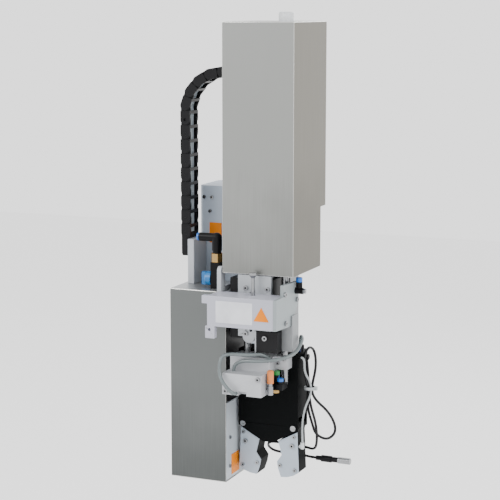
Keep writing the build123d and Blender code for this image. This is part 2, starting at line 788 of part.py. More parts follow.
def jaw_block():
    """Right jaw: body behind its plate, an ear on the pin and a tail to the plunger's bar."""
    x = head_x + jaw_pivot_half
    low = jaw_front + jaw_plate
    solid = plate_xz(jaw_outline(), low, jaw_back)
    solid += rod((x, low, pivot_z), "Y", 6.5, jaw_back - low)
    solid += plate_xz([(x - 6.5, pivot_z), (x + 6, pivot_z), (x + 4.5, pivot_z - 8),
                       (x - 14, pivot_z - 14)], low, jaw_back)
    end = x - tail_reach
    y0, y1 = gripper_middle - 7, gripper_middle + 7
    solid += plate_xz([(end, pivot_z - tail_half), (x, pivot_z - tail_half),
                       (x, pivot_z + tail_half), (end, pivot_z + tail_half)], y0, y1)
    solid += rod((end, y0, pivot_z), "Y", tail_half, 14)
    solid -= rod((x, low, pivot_z), "Y", jaw_pin_radius + running_fit, jaw_back - low)
    for seat in jaw_screws():
        solid -= screw_hole(seat, "-Y", screw_m3, 8)
    return solid - screw_hole(washer_screw(), "-Y", screw_m4, 8)


def jaw_fasteners():
    """The right jaw's screws: three small ones and a larger one."""
    small = [cap_screw(seat, "-Y", screw_m3, 8) for seat in jaw_screws()]
    return small + [cap_screw(washer_screw(), "-Y", screw_m4, 8)]


def left_of(solid):
    """The left jaw's copy of a right jaw piece."""
    return mirror(solid, about=Plane(origin=(head_x, 0, 0), x_dir=(0, 1, 0), z_dir=(1, 0, 0)))


elbow_x = head_x + 48.5
elbow_y = jaw_front + 6.0
elbow_low = vee_bottom - 4.0


def jaw_elbow():
    """White push-in elbow on the right jaw's outer side."""
    arm = rod((head_x + 43.7, elbow_y, elbow_low), "X", 2.3, elbow_x - head_x - 43.7)
    return arm + rod((elbow_x, elbow_y, elbow_low - 3), "Z", 2.8, 9)


# ------------------------------------------------------------------ fittings and hoses on the head
port_x = gripper_right - 3.0
port_y = gripper_front + 16.0
port_top = gripper_top + 10.0
silencer_x = valve_right + 6.0
silencer_y = head_front - 6.0
silencer_z = valve_bottom + 6.0


def silencer():
    """Sintered silencer on a bright elbow from the valve block's right side."""
    base = rod((valve_right, silencer_y, silencer_z), "X", 3.0, 4)
    base += rod((silencer_x, silencer_y, silencer_z - 5), "Z", 4.2, 12)
    base += rod((silencer_x, silencer_y, silencer_z + 7), "Z", 3.2, 4)
    cap = rod((silencer_x, silencer_y, silencer_z + 11), "Z", 4.6, 18)
    return base, chamfer(cap.edges().group_by(Axis.Z)[-1], 1.2)


def push_fittings():
    """Green and blue push-in fittings on a black block at the head's right side."""
    y0, y1 = head_front + 2, head_front + 22
    z0 = head_bottom - 14
    carrier = block(head_right, head_right + 18, y0, y1, z0, z0 + 8)
    carrier += block(head_right, head_right + 6, y1 - 8, y1, z0, head_bottom + 9)
    green_x, green_y = head_right + 5, head_front + 14
    blue_x, blue_y = head_right + 13.4, head_front + 7
    green_body = rod((green_x, green_y, z0 + 8), "Z", 4.0, 11)
    green_ring = rod((green_x, green_y, z0 + 19), "Z", 4.6, 5)
    blue_body = rod((blue_x, blue_y, z0 + 8), "Z", 4.0, 4)
    blue_ring = rod((blue_x, blue_y, z0 + 12), "Z", 4.4, 4)
    nut = hexagon((head_right + 5, head_front + 12, z0), "-Z", 8, 6)
    carrier = carrier - green_body - green_ring - blue_body
    return carrier, green_body, green_ring, blue_body, blue_ring, nut


def gripper_port():
    """Dark blue push-in fitting on the gripper's top, and a cable gland on its right side."""
    port = rod((port_x, port_y, gripper_top), "Z", 5.5, 10)
    port = chamfer(port.edges().group_by(Axis.Z)[-1], 1.0)
    gland = rod((gripper_right, gland_y, gland_z), "X", 4.0, 8)
    start = Vector(*cable_route[0])
    aim = Vector(*cable_route[1]) - start
    gland += extrude(Plane(origin=start, z_dir=-aim) * Circle(3.0), gland_reach)
    nipple = rod((gripper_right, air_y, gripper_top - 6), "X", 1.8, 3)
    return port, gland, nipple


def hoses():
    """Two clear hoses: valve block to head block, and valve block to the gripper's port."""
    x0, y0 = head_left + 20, valve_front
    z0 = valve_bottom + 3
    low = head_top + 3.8
    first = tube([(x0, y0, z0), (x0, y0 - 9, z0), (x0 - 14, y0 - 9, z0 + 12),
                  (head_left - 4, y0 - 5, z0 + 26), (head_left - 4, y0 + 1, z0 + 50),
                  (head_left + 6, y0 + 11, low + 2), (head_left + 30, y0 + 15, low + 1.5),
                  (hose_x - 6, hose_y - 6, low + 2), (hose_x, hose_y, head_top - 1)],
                 hose_radius, "first hose")
    top = port_top
    second = tube([(head_left + 9, head_front - 8, valve_top), (head_left + 9, head_front - 8, low - 7.5),
                   (head_right - 3, head_front - 8, low - 6), (bearing_right + 5, head_front + 14, low),
                   (bearing_right + 7, port_y - 12, head_top + 22),
                   (port_x, port_y, top + 14), (port_x, port_y, top)],
                  hose_radius, "second hose")
    return first, second


gland_y = gripper_front + 21.0
gland_z = gripper_top - 8.0
gland_reach = 6.0
air_y = gripper_front + 4.0
coil_x = gripper_right + 10.1
coil_y = gripper_front + 19.8
tie_z = gripper_top - 52.0
tie_radius = 6.8
plug_y = gripper_back + 6.0
plug_z = vee_bottom - 28.0
plug_x = gripper_right + 12.0


def sensor_route():
    """Corner points of the sensor cable: down, round a tied coil, behind the jaws and back."""
    right, y, z = gripper_right, gripper_front, gripper_top
    back = gripper_back
    return [(right + 5, gland_y, gland_z - 4.5), (right + 7, gland_y + 1, gland_z - 24),
            (right + 7, gland_y + 1, tie_z), (right + 6, y + 22, z - 82),
            (right + 12, y + 24, z - 103), (right + 17, y + 25, z - 120),
            (right + 35, y + 27, z - 127), (right + 48, y + 29, z - 112),
            (right + 37, y + 30, z - 88), (right + 13, y + 28, z - 69),
            (right + 11.2, y + 23, tie_z), (right + 15, y + 32, z - 25),
            (right + 11, y + 37, z - 2), (right + 7.5, y + 23, z + 7), (right + 6, y + 9, z - 2),
            (right + 6, y + 9, z - 27), (right + 9, y + 17.8, tie_z), (right + 11.5, y + 19, z - 77),
            (right + 21, y + 17, z - 102), (right + 22, y + 19, z - 128),
            (right + 14, back - 6, z - 144), (right - 5, back + 6, z - 145),
            (right - 33, back + 8.5, z - 144), (right - 60, back + 8, z - 143),
            (right - 67.8, back + 17, z - 153.1), (right - 60, back + 26, z - 163.2),
            (right - 36, back + 26, z - 163), (right - 14, back + 16, z - 160),
            (right + 2, plug_y, plug_z), (plug_x, plug_y, plug_z)]


cable_route = sensor_route()


def sensor_plug():
    """Sensor plug: two black grips and a bright threaded sleeve, along X."""
    grip = rod((plug_x, plug_y, plug_z), "X", 3.4, 8)
    grip += rod((plug_x + 8, plug_y, plug_z), "X", 4.8, 15)
    grip += rod((plug_x + 23, plug_y, plug_z), "X", 3.8, 10)
    sleeve = rod((plug_x + 33, plug_y, plug_z), "X", 4.6, 18)
    return grip, chamfer(sleeve.edges().group_by(Axis.X)[-1], 0.6)


def cable_tie():
    """White tie round the coil, with its small lock."""
    ring = rod((coil_x, coil_y, tie_z - 2), "Z", tie_radius + 1.1, 4)
    ring -= rod((coil_x, coil_y, tie_z - 2), "Z", tie_radius, 4)
    lock_x = coil_x + tie_radius + 0.5
    return ring + block(lock_x, lock_x + 3.5, coil_y - 2.5, coil_y + 2.5, tie_z - 2.5, tie_z + 2.5)


def cable_clip():
    """White clip plate on the tongue, with a hole for each strand."""
    x = gripper_right - 21.0
    plate = block(x - 1.5, x + 1.5, gripper_back + 4, gripper_back + 24, vee_bottom - 36, vee_bottom - 7)
    plate -= rod((x - 2, gripper_back + 7.4, gripper_top - 144.5), "X", 2.7, 4)
    return plate - rod((x - 2, gripper_back + 19, gripper_top - 161), "X", 3.2, 4)


def jaw_air_tube():
    """Thin white air tube from the gripper's side, through the tie, to the jaw's elbow."""
    right = gripper_right
    return tube([(right + 3, air_y, gripper_top - 6), (right + 8, air_y, gripper_top - 6),
                 (right + 8, air_y - 1, gripper_top - 26), (right + 12.8, air_y + 12.8, tie_z + 8),
                 (right + 13.4, air_y + 12.6, tie_z - 8), (right + 8, elbow_y - 1, gripper_top - 76),
                 (right + 4, elbow_y - 1, gripper_top - 94),
                 (right + 3, elbow_y - 0.5, gripper_top - 110), (elbow_x, elbow_y, elbow_low + 12),
                 (elbow_x, elbow_y, elbow_low + 6.4)], air_tube_radius, "air tube")


# ------------------------------------------------------------------ the nodes
painted, dark = housing_panels()
save("base_column", base_column())
save("housing_cover", housing_cover())
save("housing_side_panel", painted)
save("housing_upper_panel", dark)
save("upper_cover", upper_cover())
save("top_cap", top_cap())
save("lift_frame", lift_back_plate(), mounting_arm())
save("guide_block", guide_block(), *guide_bushes())
save("guide_plate", guide_plate())
save("bearing_block", bearing_block())
save("stop_block", *stop_block())
save("lift_cylinder", *lift_cylinder())
save("label_box_cover", label_box_cover())
save("side_plate", side_plate())
save("blank_plates", *blank_plates())
save("knurled_screw", knurled_screw())
save("hand_valve", *hand_valve(), valve_nipple())
save("valve_bracket", valve_bracket())
save("valve_knob", valve_knob())
save("push_rings", *push_rings())
save("flow_valve", flow_valve())
save("flow_needle", flow_needle())
save("chain_bracket", chain_bracket())
save("frame_screws",
     *[cap_screw(seat, "-Y", screw_m4, 14) for seat in guide_plate_screws()],
     cap_screw(stop_seat, "-Y", screw_m4, 10),
     *[cap_screw(seat, "X", screw_m4, 4) for seat in side_plate_screws()],
     *[cap_screw(seat, "X", screw_m3, 3) for seat in panel_screws()],
     *[cap_screw(seat, "-Y", screw_m3, column_wall) for seat in column_screws()])

pivots = chain_pivots()
still = chain_fixed_links - 5
save("chain_fixed_run", chain_end_fixed(), *[placed(chain_link(), place) for place in pivots[:still]])
below_arch = chain_fixed_links - 2
for number in range(still, below_arch + 1):
    save("link_%d" % number, placed(chain_link(has_pin=number < below_arch), pivots[number]))
save("arch_links", *[placed(chain_link(), place) for place in pivots[chain_fixed_links - 1:-4]])
for number in range(len(pivots) - 4, len(pivots)):
    inner = number < len(pivots) - 1
    save("link_%d" % number, placed(chain_link(inner, inner), pivots[number]))

save("guide_rods", *guide_rods())
save("piston_rod", piston_rod())
save("crosshead", crosshead(), chain_end_moving())
save("head_block", head_block())
save("valve_block", valve_block())
save("gripper_front_cover", vee_plate(gripper_front))
save("gripper_back_plate", gripper_back_plate())
save("gripper_housing", gripper_housing(), gripper_cylinder())
save("gripper_plunger", gripper_plunger())
save("pivot_pins", *pivot_pins())
save("silencer", *silencer())
save("push_fittings", *push_fittings())
save("gripper_port", *gripper_port())
save("head_screws",
     *[cap_screw(seat, "-Y", screw_m4, 14) for seat in valve_screws()],
     *[cap_screw(seat, "-Y", screw_m3, 6) for seat in ear_screws()])
save("head_hoses", *hoses())
save("jaw_air_tube", jaw_air_tube())
save("cable_clip", cable_clip())
save("sensor_cable", tube(cable_route, cable_radius, "sensor cable"))
save("sensor_plug", *sensor_plug())
save("cable_tie", cable_tie())
save("right_jaw", jaw_block())
save("right_jaw_plate", jaw_front_plate(), *jaw_fasteners())
save("right_jaw_elbow", jaw_elbow())
save("left_jaw", left_of(jaw_block()))
save("left_jaw_plate", left_of(jaw_front_plate()), *[left_of(screw) for screw in jaw_fasteners()])
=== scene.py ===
"""Looks of the stroke type label applicator, in metres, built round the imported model."""

import json
from math import pi, radians

import bmesh
import bpy
import numpy as np
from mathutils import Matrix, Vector

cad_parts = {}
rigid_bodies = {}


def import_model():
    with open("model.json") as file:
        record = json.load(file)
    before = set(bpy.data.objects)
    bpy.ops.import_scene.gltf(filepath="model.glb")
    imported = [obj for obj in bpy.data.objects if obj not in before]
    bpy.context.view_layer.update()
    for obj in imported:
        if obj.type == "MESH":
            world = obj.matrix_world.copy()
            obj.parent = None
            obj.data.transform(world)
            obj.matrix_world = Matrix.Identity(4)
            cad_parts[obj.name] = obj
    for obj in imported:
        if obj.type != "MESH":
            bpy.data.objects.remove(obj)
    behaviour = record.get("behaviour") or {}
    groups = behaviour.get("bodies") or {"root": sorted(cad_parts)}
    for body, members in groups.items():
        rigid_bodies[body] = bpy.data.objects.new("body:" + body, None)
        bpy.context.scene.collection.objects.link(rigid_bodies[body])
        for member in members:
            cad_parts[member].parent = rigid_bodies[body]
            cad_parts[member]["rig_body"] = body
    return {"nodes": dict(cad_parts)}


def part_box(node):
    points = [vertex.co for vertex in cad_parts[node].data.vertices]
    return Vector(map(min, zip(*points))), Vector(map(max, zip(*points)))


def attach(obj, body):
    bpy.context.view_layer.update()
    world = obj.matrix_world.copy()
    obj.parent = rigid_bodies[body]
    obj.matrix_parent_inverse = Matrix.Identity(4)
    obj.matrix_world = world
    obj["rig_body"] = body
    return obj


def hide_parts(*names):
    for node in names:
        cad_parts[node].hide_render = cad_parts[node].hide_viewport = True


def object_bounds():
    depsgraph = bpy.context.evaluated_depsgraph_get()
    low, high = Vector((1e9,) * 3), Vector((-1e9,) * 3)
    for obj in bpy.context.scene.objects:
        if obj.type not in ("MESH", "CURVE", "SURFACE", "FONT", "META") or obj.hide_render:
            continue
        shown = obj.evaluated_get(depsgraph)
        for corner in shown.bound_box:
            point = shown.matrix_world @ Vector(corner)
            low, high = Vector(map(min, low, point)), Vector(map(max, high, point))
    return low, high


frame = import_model()
cad_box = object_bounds()

# ---------------------------------------------------------------- studio
# A pale floor well below the machine, which hangs from its rear bolts, so that the lowered head
# stays in view.  Soft white light comes from all round and from three large soft lamps.
floor_drop = 0.36
floor_width = 9.0
floor_z = cad_box[0][2] - floor_drop
bpy.ops.mesh.primitive_plane_add(size=floor_width, location=(0.0, 0.0, floor_z))
floor = bpy.context.object
floor.name = "studio_floor"
floor_paint = bpy.data.materials.new("floor_paint")
floor_paint.use_nodes = True
floor_shader = floor_paint.node_tree.nodes["Principled BSDF"]
floor_grey = 0.93
floor_shader.inputs["Base Color"].default_value = (floor_grey, floor_grey, floor_grey, 1.0)
floor_shader.inputs["Roughness"].default_value = 0.9
floor.data.materials.append(floor_paint)

sky = bpy.data.worlds.new("studio_sky")
sky_strength = 1.9
bpy.context.scene.world = sky
sky.use_nodes = True
sky_light = sky.node_tree.nodes["Background"]
sky_light.inputs["Color"].default_value = (1.0, 1.0, 1.0, 1.0)
sky_light.inputs["Strength"].default_value = sky_strength


def soft_lamp(name, place, target, size, power):
    """A square area lamp at a place, aimed at a target."""
    data = bpy.data.lights.new(name, "AREA")
    data.shape = "SQUARE"
    data.size = size
    data.energy = power
    lamp = bpy.data.objects.new(name, data)
    lamp.location = place
    lamp.rotation_euler = (Vector(target) - Vector(place)).to_track_quat("-Z", "Y").to_euler()
    bpy.context.scene.collection.objects.link(lamp)


soft_lamp("key_lamp", (-1.3, -1.9, 1.5), (0.05, -0.1, 0.1), 0.9, 30.0)
soft_lamp("side_lamp", (1.9, -0.9, 0.9), (0.1, -0.1, 0.1), 1.0, 16.0)
soft_lamp("back_lamp", (0.5, 1.9, 1.3), (0.05, -0.1, 0.1), 1.2, 16.0)

camera_place = (0.8877, -2.0623, 0.4585)
camera_dip, camera_turn = radians(9.04), radians(23.0)
camera_data = bpy.data.cameras.new("front_camera")
camera_data.lens = 110.8
camera_data.sensor_width = 36.0
camera = bpy.data.objects.new("front_camera", camera_data)
camera.location = camera_place
camera.rotation_euler = (pi / 2.0 - camera_dip, 0.0, camera_turn)
bpy.context.scene.collection.objects.link(camera)
bpy.context.scene.camera = camera


# ---------------------------------------------------------------- base column
# A welded square tube in pale grey-blue powder coat, closed at both ends, with rounded corners.
# It is bolted to the machine behind it through its back wall.
def new_finish(name, metallic=0.0, gleam=0.5, clear=0.0):
    """An empty finish: its material, its shader and the object's own coordinates."""
    material = bpy.data.materials.new(name)
    material.use_nodes = True
    tree = material.node_tree
    shader = tree.nodes["Principled BSDF"]
    shader.inputs["Metallic"].default_value = metallic
    shader.inputs["Specular IOR Level"].default_value = gleam
    shader.inputs["Transmission Weight"].default_value = clear
    return material, shader, tree.nodes.new("ShaderNodeTexCoord").outputs["Object"]


def noise(place, scale, detail=2.0, stretch=None):
    """Noise of a scale at a place, which may first be stretched along the axes."""
    tree = place.id_data
    if stretch:
        mapping = tree.nodes.new("ShaderNodeMapping")
        mapping.inputs["Scale"].default_value = stretch
        tree.links.new(place, mapping.inputs["Vector"])
        place = mapping.outputs["Vector"]
    texture = tree.nodes.new("ShaderNodeTexNoise")
    texture.inputs["Scale"].default_value = scale
    texture.inputs["Detail"].default_value = detail
    tree.links.new(place, texture.inputs["Vector"])
    return texture.outputs["Fac"]


def tint(shader, pattern, dark, light, start, stop):
    """Base colour: dark up to the pattern's value start, light from stop, blended between."""
    tree = pattern.id_data
    ramp = tree.nodes.new("ShaderNodeValToRGB")
    for stage, colour, value in zip(ramp.color_ramp.elements, (dark, light), (start, stop)):
        stage.position = value
        stage.color = tuple(colour) + (1.0,)
    tree.links.new(pattern, ramp.inputs["Fac"])
    tree.links.new(ramp.outputs["Color"], shader.inputs["Base Color"])


def dull(shader, pattern, low, high):
    """Roughness: the pattern's values 0 to 1 spread over low to high."""
    tree = pattern.id_data
    spread = tree.nodes.new("ShaderNodeMapRange")
    spread.inputs["To Min"].default_value = low
    spread.inputs["To Max"].default_value = high
    tree.links.new(pattern, spread.inputs["Value"])
    tree.links.new(spread.outputs["Result"], shader.inputs["Roughness"])


def emboss(shader, pattern, strength, depth=0.0001):
    """Relief: the pattern as a height of some depth in metres."""
    tree = pattern.id_data
    bump = tree.nodes.new("ShaderNodeBump")
    bump.inputs["Strength"].default_value = strength
    bump.inputs["Distance"].default_value = depth
    tree.links.new(pattern, bump.inputs["Height"])
    tree.links.new(bump.outputs["Normal"], shader.inputs["Normal"])


def shade(colour, share):
    """The colour with each of its parts times a share."""
    return tuple(part * share for part in colour)


def powder_coat(name, colour, rough=0.42, dirt=0.10, gleam=0.5):
    """Powder coat: a fine orange-peel bump, and broad faint patches of soiling."""
    material, shader, place = new_finish(name, gleam=gleam)
    patches = noise(place, 14.0, detail=5.0)
    tint(shader, patches, shade(colour, 1.0 - dirt), colour, 0.32, 0.70)
    dull(shader, patches, rough - 0.08, rough + 0.10)
    emboss(shader, noise(place, 900.0), 0.12, depth=0.0002)
    return material


corner_gap = 2e-6
smooth_below, round_above = radians(32.0), radians(40.0)


def merged_copy(node, name):
    """A mesh of the CAD node's triangles, with the corners that meet within corner_gap merged."""
    source = frame["nodes"][node].data
    source.calc_loop_triangles()
    corners = np.empty(len(source.vertices) * 3)
    source.vertices.foreach_get("co", corners)
    triangles = np.empty(len(source.loop_triangles) * 3, dtype=np.int32)
    source.loop_triangles.foreach_get("vertices", triangles)
    mesh = bpy.data.meshes.new(name)
    mesh.from_pydata(corners.reshape(-1, 3), [], triangles.reshape(-1, 3).tolist())
    shape = bmesh.new()
    shape.from_mesh(mesh)
    bmesh.ops.remove_doubles(shape, verts=shape.verts, dist=corner_gap)
    shape.to_mesh(mesh)
    shape.free()
    return mesh


def finished(node, finishes, edge=0.0004, pick=None, rim=0):
    """A CAD node's copy with merged corners, small rounded edges and its own finishes.

    Where a node has several finishes, pick(x, y, z) gives each face's number from its centre, and
    rim is the number of the finish on the rounded edges.
    """
    mesh = merged_copy(node, "finished_" + node)
    mesh.polygons.foreach_set("use_smooth", np.ones(len(mesh.polygons), dtype=bool))
    if pick:
        centres = np.empty(len(mesh.polygons) * 3)
        mesh.polygons.foreach_get("center", centres)
        numbers = np.asarray(pick(*centres.reshape(-1, 3).T), dtype=np.int32)
        mesh.polygons.foreach_set("material_index", numbers)
    mesh.set_sharp_from_angle(angle=smooth_below)
    for finish in finishes:
        mesh.materials.append(finish)
    piece = bpy.data.objects.new(mesh.name, mesh)
    bpy.context.scene.collection.objects.link(piece)
    if edge:
        rounding = piece.modifiers.new("rounded_edges", "BEVEL")
        rounding.width = edge
        rounding.segments = 2
        rounding.limit_method = "ANGLE"
        rounding.angle_limit = round_above
        if rim:
            rounding.material = rim
        evened = piece.modifiers.new("evened_normals", "WEIGHTED_NORMAL")
        evened.keep_sharp = True
    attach(piece, frame["nodes"][node]["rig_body"])
    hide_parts(node)
    return piece


column_paint = powder_coat("column_paint", (0.33, 0.38, 0.45), dirt=0.14)
finished("base_column", [column_paint], edge=0.0006)


# ---------------------------------------------------------------- housing
# Folded stainless sheet round the control parts: front, left side, top and floor in one piece.
# Its top wears a lighter copy of the steel, which is painted light.  Its right side is closed by a
# painted panel below and a black one above; the black one stands in for the shade inside the
# housing, which is painted shade.
def brushed_sheet(name, dark, light, axis, low, high, rough=0.36):
    """Brushed stainless: fine scratches along one axis over clouds, and a painted reflection that
    makes it lighter with height.

    The tone's pattern is the height from low to high, counted 0 to 1, which paints the studio's
    reflection, plus cloud_share of the clouds and scratch_share of the scratches.
    """
    cloud_share, scratch_share = 0.55, 0.30
    along_scratch, across_scratch = 12.0, 1400.0
    material, shader, place = new_finish(name, metallic=0.85)
    tree = material.node_tree
    scratches = noise(place, 1.0, detail=3.0, stretch=tuple(
        along_scratch if letter == axis else across_scratch for letter in "XYZ"))
    # Painted reflection: the tone runs from dark at low to light at high.
    height = tree.nodes.new("ShaderNodeSeparateXYZ")
    tree.links.new(place, height.inputs["Vector"])
    reflection_rise = tree.nodes.new("ShaderNodeMapRange")
    reflection_rise.inputs["From Min"].default_value = low
    reflection_rise.inputs["From Max"].default_value = high
    tree.links.new(height.outputs["Z"], reflection_rise.inputs["Value"])
    pattern = reflection_rise.outputs["Result"]
    for part, share in ((noise(place, 7.0, detail=4.0), cloud_share), (scratches, scratch_share)):
        added = tree.nodes.new("ShaderNodeMath")
        added.operation = "MULTIPLY_ADD"
        added.inputs[1].default_value = share
        tree.links.new(part, added.inputs[0])
        tree.links.new(pattern, added.inputs[2])
        pattern = added.outputs["Value"]
    tint(shader, pattern, dark, light, 0.25, 0.84375)
    dull(shader, scratches, rough - 0.10, rough + 0.14)
    emboss(shader, scratches, 0.10)
    return material


housing_low, housing_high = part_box("housing_cover")
outer_skin = 0.0002
housing_steel = brushed_sheet("housing_steel", (0.052, 0.056, 0.055), (0.125, 0.132, 0.130), "Z",
                              housing_low[2], housing_high[2] * 1.6)
# The top is a lighter copy of the same steel, brushed along X: painted light on the face turned up.
housing_lit_top_steel = brushed_sheet("housing_lit_top_steel", (0.26, 0.27, 0.28), (0.36, 0.37, 0.38),
                                  "X", housing_low[2], housing_high[2])
# A brighter, glossier copy of the steel on the rounded edges: a painted highlight.
edge_highlight_steel = brushed_sheet("edge_highlight_steel", (0.42, 0.42, 0.40), (0.60, 0.60, 0.58), "Z",
                          housing_low[2], housing_high[2], rough=0.25)
finished("housing_cover", [housing_steel, housing_lit_top_steel, edge_highlight_steel], edge=0.0009, rim=2,
         pick=lambda x, y, z: z > housing_high[2] - outer_skin)
panel_paint = powder_coat("panel_paint", (0.40, 0.44, 0.48), dirt=0.16)
finished("housing_side_panel", [panel_paint])
black_coat = powder_coat("black_coat", (0.010, 0.010, 0.011), rough=0.42, dirt=0.3, gleam=0.15)
# A black panel where the housing's upper right side lies in shade: painted shade.
finished("housing_upper_panel", [black_coat])


# ---------------------------------------------------------------- lift cover
# Tall cover of brushed stainless sheet, folded and open at the bottom, with a round plug on top.
# It is screwed to the vertical plate behind the lift.
cover_low, cover_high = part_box("upper_cover")
cover_foot = cover_low[2] - 0.05
# Front and right side are lit and shaded copies of one steel: the side's darker, warmer tone is
# painted shade.
cover_lit_front_steel = brushed_sheet("cover_lit_front_steel", (0.105, 0.105, 0.097),
                                  (0.25, 0.255, 0.245), "Z", cover_foot, cover_high[2] + 0.02)
cover_shaded_side_steel = brushed_sheet("cover_shaded_side_steel", (0.075, 0.069, 0.054),
                                 (0.165, 0.155, 0.128), "Z", cover_foot, cover_high[2] + 0.05)
finished("upper_cover", [cover_lit_front_steel, cover_shaded_side_steel, edge_highlight_steel], edge=0.0008, rim=2,
         pick=lambda x, y, z: x > cover_high[0] - outer_skin)


def moulded(name, colour, rough=0.35, bump=0.05, scale=600.0, clear=0.0, gleam=0.5):
    """Moulded plastic: an even colour with a faint cloudiness and a fine moulded grain."""
    material, shader, place = new_finish(name, gleam=gleam, clear=clear)
    clouds = noise(place, 40.0)
    tint(shader, clouds, shade(colour, 0.82), colour, 0.3, 0.7)
    dull(shader, clouds, max(rough - 0.08, 0.03), rough + 0.08)
    emboss(shader, noise(place, scale, detail=3.0), bump)
    return material


cap_plastic = moulded("cap_plastic", (0.78, 0.80, 0.82), rough=0.25, clear=0.3)
finished("top_cap", [cap_plastic], edge=0.0008)


# ---------------------------------------------------------------- lift
# Milled aluminium and black anodised blocks on a vertical plate; ground steel rods slide in them.
# The lift cylinder stands on the guide block inside the cover.
def milled(name, colour, rough=0.33, metallic=0.9):
    """Milled or ground metal: short cutter marks across the face over faint clouds."""
    material, shader, place = new_finish(name, metallic=metallic)
    marks = noise(place, 1.0, stretch=(90.0, 90.0, 1500.0))
    clouds = noise(place, 30.0, detail=4.0)
    tint(shader, clouds, shade(colour, 0.84), colour, 0.3, 0.68)
    dull(shader, marks, rough - 0.08, rough + 0.12)
    emboss(shader, marks, 0.08)
    return material


pale_aluminium = milled("pale_aluminium", (0.40, 0.42, 0.44), rough=0.38, metallic=0.55)
ground_steel = milled("ground_steel", (0.30, 0.305, 0.315), rough=0.16)
bronze = milled("bronze", (0.30, 0.18, 0.07), rough=0.3)
grey_aluminium = milled("grey_aluminium", (0.26, 0.27, 0.28), rough=0.42, metallic=0.5)
lower_bush_left, lower_bush_top = 0.1105, 0.0405
bright_strip_right = 0.0879
finished("lift_frame", [grey_aluminium])
finished("guide_block", [black_coat, bronze],
         pick=lambda x, y, z: (x > lower_bush_left) & (z < lower_bush_top))
finished("guide_plate", [pale_aluminium])
finished("bearing_block", [grey_aluminium], edge=0.0006)
finished("stop_block", [black_coat, pale_aluminium],
         pick=lambda x, y, z: x < bright_strip_right)
finished("lift_cylinder", [grey_aluminium])
finished("guide_rods", [ground_steel])
finished("piston_rod", [ground_steel])
finished("crosshead", [grey_aluminium])


# ---------------------------------------------------------------- label box
# Bent plate in pale lavender-white paint on the guide plate's front, closed at its right end by a
# thick side plate.  A knurled adjusting screw goes through its top.
box_paint = powder_coat("box_paint", (0.36, 0.365, 0.42), rough=0.35, dirt=0.08)
side_paint = powder_coat("side_paint", (0.24, 0.27, 0.28), rough=0.40, dirt=0.14)
finished("label_box_cover", [box_paint], edge=0.0007)
finished("side_plate", [side_paint], edge=0.0006)
finished("knurled_screw", [ground_steel], edge=0.0003)
film_white = moulded("film_white", (0.60, 0.61, 0.65), rough=0.22, bump=0.0)
film_amber = moulded("film_amber", (0.68, 0.19, 0.002), rough=0.4, gleam=0.1, bump=0.0)
white_film_back, white_film_right = -0.19, 0.0985
finished("blank_plates", [film_amber, film_white], edge=0.0,
         pick=lambda x, y, z: (y < white_film_back) & (x < white_film_right))
finished("frame_screws", [ground_steel], edge=0.0002)


# ---------------------------------------------------------------- hand valve and flow valve
# Black valve body with a push-in elbow on a brass nipple; a cyan knob shuts the air off.
# The small flow control valve sits on the side plate.
black_plastic = moulded("black_plastic", (0.004, 0.004, 0.005), rough=0.3, gleam=0.12)
brass = milled("brass", (0.42, 0.27, 0.10), rough=0.22)
knob_plastic = moulded("knob_plastic", (0.002, 0.13, 0.36), rough=0.3)
ring_plastic = moulded("ring_plastic", (0.01, 0.13, 0.50), rough=0.28)
bracket_paint = powder_coat("bracket_paint", (0.38, 0.40, 0.43), rough=0.4)
nipple_foot, nipple_top = 0.1049, 0.1172
finished("hand_valve", [black_plastic, brass], edge=0.0007,
         pick=lambda x, y, z: (z > nipple_foot) & (z < nipple_top))
finished("valve_knob", [knob_plastic], edge=0.0006)
finished("valve_bracket", [bracket_paint], edge=0.0006)
finished("push_rings", [ring_plastic], edge=0.0003)
finished("flow_valve", [black_plastic], edge=0.0004)
finished("flow_needle", [ground_steel], edge=0.0002)


# ---------------------------------------------------------------- energy chain
# Black moulded links on snap pins, from a bracket on the housing over an arch to the crosshead.
# Three grey-blue cables lie side by side in it.  Each link carries its own stretch of them, seen
# between its cross bars, so that they bend with the chain.
chain_plastic = moulded("chain_plastic", (0.006, 0.006, 0.007), rough=0.36, bump=0.08, gleam=0.15)
chain_nodes = sorted(node for node in frame["nodes"] if node.startswith("link_"))
for node in chain_nodes + ["arch_links", "chain_fixed_run"]:
    finished(node, [chain_plastic], edge=0.0004)
finished("chain_bracket", [bracket_paint], edge=0.0006)

link_pitch = 0.020
straight_links = 9
bend_step = radians(20.0)
strand_x, strand_y, chain_foot = -0.0395, -0.097, 0.140
strand_radius, strand_spread, strand_corners = 0.0033, 0.0072, 12
strand_sharp_above = radians(50.0)
cable_jacket = moulded("cable_jacket", (0.46, 0.52, 0.57), rough=0.4)


